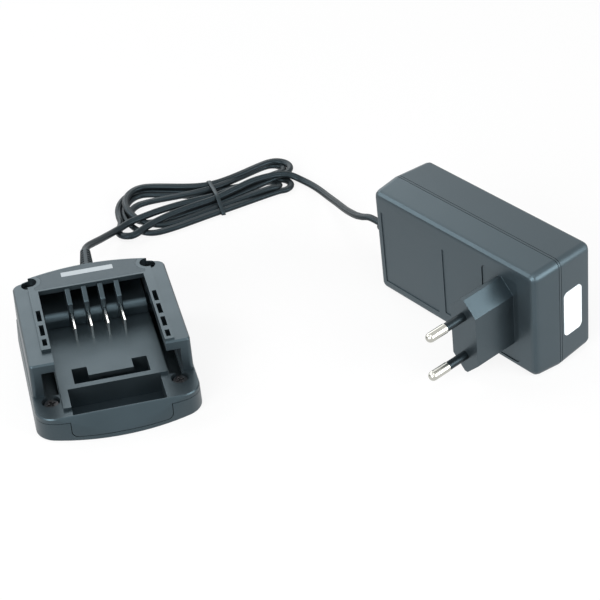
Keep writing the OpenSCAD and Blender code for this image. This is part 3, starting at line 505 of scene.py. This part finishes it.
def make_tie(line):
    """Thin strap drawn round the runs where they cross the tie's plane."""
    half_w, half_t = look().cord_width / 2, look().cord_thickness / 2
    ring = [(y * MM, z * MM) for y, z in TIE_ENDS]
    for a, b in zip(line, line[1:]):
        before, after = a.x - tie_x(a.y), b.x - tie_x(b.y)
        if before * after <= 0 and abs(a.x - b.x) > SAME_PLACE:
            p = a.lerp(b, before / (before - after))
            for k in range(STRAND_SIDES):
                angle = math.tau * k / STRAND_SIDES
                ring.append((p.y + (half_w + TIE_THICK / 2) * math.cos(angle),
                             max(p.z + (half_t + TIE_THICK / 2) * math.sin(angle),
                                 TIE_THICK / 2)))
    hull = [ring[k] for k in geometry.convex_hull_2d([Vector(p) for p in ring])]
    loop = even_loop(hull, TIE_STEPS)
    mesh = bpy.data.meshes.new("tie")
    form = bmesh.new()
    rings = []
    for k, (y, z) in enumerate(loop):
        y0, z0 = loop[k - 1]
        y1, z1 = loop[(k + 1) % TIE_STEPS]
        along = Vector((0, y1 - y0, z1 - z0)).normalized()
        out = Vector((0, along.z, -along.y))
        rings.append([form.verts.new(Vector((tie_x(y) + cx * TIE_WIDTH / 2, y, z))
                                     + out * cy * TIE_THICK / 2) for cx, cy in TIE_SECTION])
    for k in range(TIE_STEPS):
        a, b = rings[k], rings[(k + 1) % TIE_STEPS]
        for c in range(len(TIE_SECTION)):
            d = (c + 1) % len(TIE_SECTION)
            form.faces.new((a[c], a[d], b[d], b[c]))
    bmesh.ops.recalc_face_normals(form, faces=form.faces)
    form.to_mesh(mesh)
    form.free()
    mat = moulded("tie_plastic", tone(look().cord_colour, TIE_TONE), rough=(0.34, 0.44),
                  level=0.5)
    return add_piece("cord_tie_strap", mesh, mat, replaces=("cord_tie",))


def even_loop(points, count):
    """A closed outline resampled to count even steps."""
    points = points + points[:1]
    lengths = [0.0]
    for a, b in zip(points, points[1:]):
        lengths.append(lengths[-1] + math.dist(a, b))
    loop = []
    k = 0
    for step in range(count):
        at = lengths[-1] * step / count
        while lengths[k + 1] < at:
            k += 1
        t = (at - lengths[k]) / max(lengths[k + 1] - lengths[k], SHORTEST_EDGE)
        loop.append(tuple(mix(u, v, t) for u, v in zip(points[k], points[k + 1])))
    return loop


# ---------------------------------------------------------------------- cradle

class CHARGER_OT_cradle(bpy.types.Operator):
    """Finishes the cradle's shells, terminal block, boot and underside label"""

    bl_idname = "charger.cradle"
    bl_label = "Cradle"

    def execute(self, context):
        case = look().case_colour
        finishes = {
            "cradle_top_shell": moulded("cradle_top_plastic", case),
            # The lower shell is the case's plastic a little darker: painted shade.
            "cradle_bottom_shell": moulded("cradle_bottom_plastic", tone(case, LOWER_SHELL_PAINTED_SHADE)),
            # The terminal block is the case's plastic a little lighter: painted light.
            "terminal_block": moulded("terminal_plastic", tone(case, TERMINAL_PAINTED_LIGHT)),
            "cradle_label": film("cradle_label_film", LABEL_BLACK, rough=(0.4, 0.48),
                                 level=0.6, tint=COOL_TINT),
            "cradle_boot": moulded("boot_rubber", tone(case, RUBBER_TONE), rough=(0.42, 0.52),
                                   level=0.5),
        }
        for name, mat in finishes.items():
            dress(NODES[name], mat)
        for name in ("cradle_top_shell", "cradle_bottom_shell", "terminal_block"):
            soften(NODES[name], look().edge_round)
        soften(NODES["cradle_boot"], BOOT_ROUND, segments=2)
        return {"FINISHED"}


# The bare bar on the deck, in the place of its print.
BAR_FRONT = 33.9 * MM
BAR_REAR = 37.1 * MM
BAR_LEFT = -11.0 * MM
BAR_RIGHT = 10.2 * MM
BAR_CORNER = 0.3 * MM
INK = 0.02 * MM
CORNER_STEPS = 6


def rounded_plate(name, x0, x1, y0, y1, z, radius, thick):
    """Thin plate with round corners, lying flat at height z."""
    mesh = bpy.data.meshes.new(name)
    form = bmesh.new()
    ring = []
    for cx, cy, start in ((x1 - radius, y1 - radius, 0), (x0 + radius, y1 - radius, 90),
                          (x0 + radius, y0 + radius, 180), (x1 - radius, y0 + radius, 270)):
        for k in range(CORNER_STEPS + 1):
            angle = math.radians(start + 90 * k / CORNER_STEPS)
            ring.append((cx + radius * math.cos(angle), cy + radius * math.sin(angle)))
    lower = [form.verts.new((x, y, z)) for x, y in ring]
    upper = [form.verts.new((x, y, z + thick)) for x, y in ring]
    form.faces.new(list(reversed(lower)))
    form.faces.new(upper)
    for k in range(len(ring)):
        form.faces.new((lower[k - 1], lower[k], upper[k], upper[k - 1]))
    bmesh.ops.recalc_face_normals(form, faces=form.faces)
    form.to_mesh(mesh)
    form.free()
    return mesh


class CHARGER_OT_deck_print(bpy.types.Operator):
    """Prints the bare bar on the cradle's deck"""

    bl_idname = "charger.deck_print"
    bl_label = "Deck Print"

    def execute(self, context):
        mesh = rounded_plate("deck_bar", BAR_LEFT, BAR_RIGHT, BAR_FRONT, BAR_REAR, DECK_TOP,
                             BAR_CORNER, INK)
        add_piece("deck_bar", mesh, film("deck_ink", look().print_colour),
                  smooth=False)
        return {"FINISHED"}


class CHARGER_OT_terminals(bpy.types.Operator):
    """Finishes the contact blades and the case screws"""

    bl_idname = "charger.terminals"
    bl_label = "Terminals and Screws"

    def execute(self, context):
        blade = metal("blade_metal", CONTACT_NICKEL, (0.16, 0.26))
        for k in (1, 2, 3, 4):
            node = NODES[f"contact_blade_{k}"]
            dress(node, blade)
            soften(node, CONTACT_ROUND, segments=2)
        screw = metal("screw_steel", SCREW_STEEL, (0.28, 0.38))
        for end in ("front", "rear"):
            for side in ("left", "right"):
                node = NODES[f"cradle_screw_{end}_{side}"]
                dress(node, screw)
                soften(node, SCREW_ROUND, segments=2)
        return {"FINISHED"}


# --------------------------------------------------------------------- adapter

class CHARGER_OT_adapter(bpy.types.Operator):
    """Finishes the adapter's shells, plug body, boot and small label"""

    bl_idname = "charger.adapter"
    bl_label = "Adapter"

    def execute(self, context):
        case = look().case_colour
        # The adapter's shells take the case's plastic made lighter: painted light on their faces.
        lit = tone(case, ADAPTER_PAINTED_LIGHT)
        front = moulded("adapter_front_plastic", lit, grain=3000, grain_depth=0.00002)
        back = moulded("adapter_back_plastic", lit, grain=3000, grain_depth=0.00002)
        # The plug takes the case's plastic made lighter: painted light on its faces.
        plug = moulded("plug_plastic", tone(case, PLUG_PAINTED_LIGHT), rough=(0.3, 0.38),
                       grain_depth=0.00001)
        rubber = moulded("adapter_boot_rubber", tone(case, RUBBER_TONE), rough=(0.42, 0.52),
                         level=0.5)
        paper = film("white_label", LABEL_WHITE)
        for name, mat in (("adapter_front_shell", front), ("adapter_back_shell", back),
                          ("plug_insert", plug), ("adapter_boot", rubber),
                          ("adapter_end_label", paper)):
            dress(NODES[name], mat)
        for name in ("adapter_front_shell", "adapter_back_shell"):
            soften(NODES[name], ADAPTER_ROUND, angle=20, segments=2)
        soften(NODES["plug_insert"], PLUG_ROUND)
        soften(NODES["adapter_boot"], BOOT_ROUND, segments=2)
        return {"FINISHED"}


class CHARGER_OT_pins(bpy.types.Operator):
    """Finishes the mains pins and their sleeves"""

    bl_idname = "charger.pins"
    bl_label = "Mains Pins"

    def execute(self, context):
        nickel = metal("pin_metal", PIN_NICKEL, (0.14, 0.22))
        sleeve = moulded("sleeve_plastic", tone(look().case_colour, SLEEVE_TONE),
                         rough=(0.3, 0.38), level=0.35)
        for end in ("upper", "lower"):
            dress(NODES[f"plug_pin_{end}"], nickel)
            dress(NODES[f"pin_sleeve_{end}"], sleeve)
            for name in (f"plug_pin_{end}", f"pin_sleeve_{end}"):
                soften(NODES[name], PIN_ROUND, segments=2)
        return {"FINISHED"}


class CHARGER_OT_inner_parts(bpy.types.Operator):
    """Finishes the boards and the parts on them"""

    bl_idname = "charger.inner_parts"
    bl_label = "Inner Parts"

    def execute(self, context):
        board = moulded("circuit_board", BOARD_GREEN, rough=(0.3, 0.45), grain=900,
                        tint=NO_TINT)
        sleeve = moulded("capacitor_sleeve", CAPACITOR_BLUE, rough=(0.2, 0.3), tint=NO_TINT)
        tape = moulded("winding_tape", TAPE_YELLOW, rough=(0.25, 0.35), grain=700,
                       tint=NO_TINT)
        core = moulded("ferrite", FERRITE_GREY, rough=(0.5, 0.65), grain=1200)
        chip = moulded("chip_plastic", CHIP_BLACK, rough=(0.4, 0.5))
        sink = metal("heat_sink_metal", SINK_ALUMINIUM, (0.3, 0.4))
        brass = metal("inner_contact_metal", CONTACT_BRASS, (0.25, 0.35))
        finishes = {
            "cradle_circuit_board": board, "adapter_circuit_board": board,
            "cradle_capacitor": sleeve, "mains_capacitor": sleeve, "output_capacitor": sleeve,
            "cradle_chip": chip, "transformer_core": core, "transformer_bobbin": tape,
            "heat_sink": sink, "pin_contact_upper": brass, "pin_contact_lower": brass,
        }
        for name, mat in finishes.items():
            dress(NODES[name], mat)
        return {"FINISHED"}


# ----------------------------------------------------------------------- stage

FLOOR_GREY = (0.9, 0.9, 0.9)
FLOOR_ROUGH = 0.9
FLOOR_SHARE = 0.85
FLOOR_DROP = 0.05 * MM
SKY_COLOUR = (0.95, 0.98, 1.0)
SKY_STRENGTH = 0.1
PLAIN_WHITE = (1, 1, 1)
STAGE_CENTRE = Vector((0.05, 0.03, 0.02))
LIGHT_DISTANCE = 1.3
# Name, bearing from the cradle's right counter-clockwise, height, side in metres, watts
SOFTBOXES = (
    ("rear_softbox", 95, 30, 0.8, 3.8),
    ("left_softbox", 150, 35, 0.8, 8),
    ("top_softbox", -90, 70, 0.8, 4.2),
    ("front_softbox", -130, 22, 0.8, 15),
    ("right_softbox", -40, 20, 0.8, 13),
)


def looked_at(tree):
    """One where the camera, gloss or glass looks at it, and nothing for the light."""
    path = tree.nodes.new("ShaderNodeLightPath")
    seen = tree.nodes.new("ShaderNodeMath")
    seen.operation = "MAXIMUM"
    glass = tree.nodes.new("ShaderNodeMath")
    glass.operation = "MAXIMUM"
    tree.links.new(path.outputs["Is Camera Ray"], seen.inputs[0])
    tree.links.new(path.outputs["Is Glossy Ray"], glass.inputs[0])
    tree.links.new(path.outputs["Is Transmission Ray"], glass.inputs[1])
    tree.links.new(glass.outputs["Value"], seen.inputs[1])
    return seen.outputs["Value"]


def blend(tree, share, lit, white):
    """The lit shader, with the white one in its place for that share."""
    both = tree.nodes.new("ShaderNodeMixShader")
    tree.links.new(share, both.inputs["Fac"])
    tree.links.new(lit, both.inputs[1])
    tree.links.new(white, both.inputs[2])
    return both.outputs["Shader"]


def seen_white(mat, lit):
    """Mixes the floor's shader with plain white where something looks at it."""
    tree = mat.node_tree
    white = tree.nodes.new("ShaderNodeEmission")
    white.inputs["Color"].default_value = (*PLAIN_WHITE, 1)
    white.inputs["Strength"].default_value = 1.0
    part = tree.nodes.new("ShaderNodeMath")
    part.operation = "MULTIPLY"
    part.inputs[1].default_value = FLOOR_SHARE
    tree.links.new(looked_at(tree), part.inputs[0])
    return blend(tree, part.outputs["Value"], lit, white.outputs["Emission"])


def softbox(name, bearing, height, size, power):
    """Square soft light aimed at the middle of the charger; angles in degrees."""
    data = bpy.data.lights.new(name, "AREA")
    data.shape = "SQUARE"
    data.size = size
    data.energy = power
    lamp = bpy.data.objects.new(name, data)
    bpy.context.scene.collection.objects.link(lamp)
    a, e = math.radians(bearing), math.radians(height)
    way = Vector((math.cos(a) * math.cos(e), math.sin(a) * math.cos(e), math.sin(e)))
    lamp.location = STAGE_CENTRE + way * LIGHT_DISTANCE
    lamp.rotation_euler = (-way).to_track_quat("-Z", "Y").to_euler()


class CHARGER_OT_stage(bpy.types.Operator):
    """Sets the pale floor, the white surroundings and the soft lights"""

    bl_idname = "charger.stage"
    bl_label = "Stage"

    def execute(self, context):
        half = look().floor_size / 2
        mesh = bpy.data.meshes.new("floor")
        mesh.from_pydata([(-half, -half, 0), (half, -half, 0), (half, half, 0),
                          (-half, half, 0)], [], [(0, 1, 2, 3)])
        mat, skin = new_material("pale_floor")
        skin.inputs["Base Color"].default_value = (*FLOOR_GREY, 1)
        skin.inputs["Roughness"].default_value = FLOOR_ROUGH
        out = mat.node_tree.nodes["Material Output"]
        mat.node_tree.links.new(seen_white(mat, skin.outputs["BSDF"]), out.inputs["Surface"])
        floor = bpy.data.objects.new("floor", mesh)
        context.scene.collection.objects.link(floor)
        floor.location.z = -FLOOR_DROP
        dress(floor, mat)

        world = bpy.data.worlds.new("studio")
        context.scene.world = world
        world.use_nodes = True
        tree = world.node_tree
        sky = tree.nodes["Background"]
        sky.inputs["Color"].default_value = (*SKY_COLOUR, 1)
        sky.inputs["Strength"].default_value = SKY_STRENGTH
        white = tree.nodes.new("ShaderNodeBackground")
        white.inputs["Color"].default_value = (*PLAIN_WHITE, 1)
        white.inputs["Strength"].default_value = 1.0
        out = tree.nodes["World Output"]
        tree.links.new(blend(tree, looked_at(tree), sky.outputs["Background"],
                             white.outputs["Background"]), out.inputs["Surface"])

        for name, bearing, height, size, power in SOFTBOXES:
            softbox(name, bearing, height, size, power)
        context.scene.view_settings.view_transform = "Standard"
        return {"FINISHED"}


# ----------------------------------------------------------------------- panel

STEPS = (
    CHARGER_OT_camera, CHARGER_OT_cord, CHARGER_OT_cradle, CHARGER_OT_deck_print,
    CHARGER_OT_terminals, CHARGER_OT_adapter, CHARGER_OT_pins, CHARGER_OT_inner_parts,
    CHARGER_OT_stage,
)


class CHARGER_PT_panel(bpy.types.Panel):
    """Lists the steps that dress the charger"""

    bl_idname = "CHARGER_PT_panel"
    bl_label = "Tool Battery Charger"
    bl_space_type = "VIEW_3D"
    bl_region_type = "UI"
    bl_category = "Charger"

    def draw(self, context):
        for key in ("case_colour", "cord_colour", "print_colour", "cord_width",
                    "cord_thickness", "edge_round", "floor_size"):
            self.layout.prop(context.scene.charger_look, key)
        for step in STEPS:
            self.layout.operator(step.bl_idname)


CLASSES = (ChargerLook, *STEPS, CHARGER_PT_panel)


def register():
    for cls in CLASSES:
        bpy.utils.register_class(cls)
    bpy.types.Scene.charger_look = bpy.props.PointerProperty(type=ChargerLook)


def unregister():
    del bpy.types.Scene.charger_look
    for cls in reversed(CLASSES):
        bpy.utils.unregister_class(cls)


def main():
    register()
    for step in STEPS:
        group, name = step.bl_idname.split(".")
        getattr(getattr(bpy.ops, group), name)()
    bpy.context.view_layer.update()


if __name__ == "__main__":
    main()
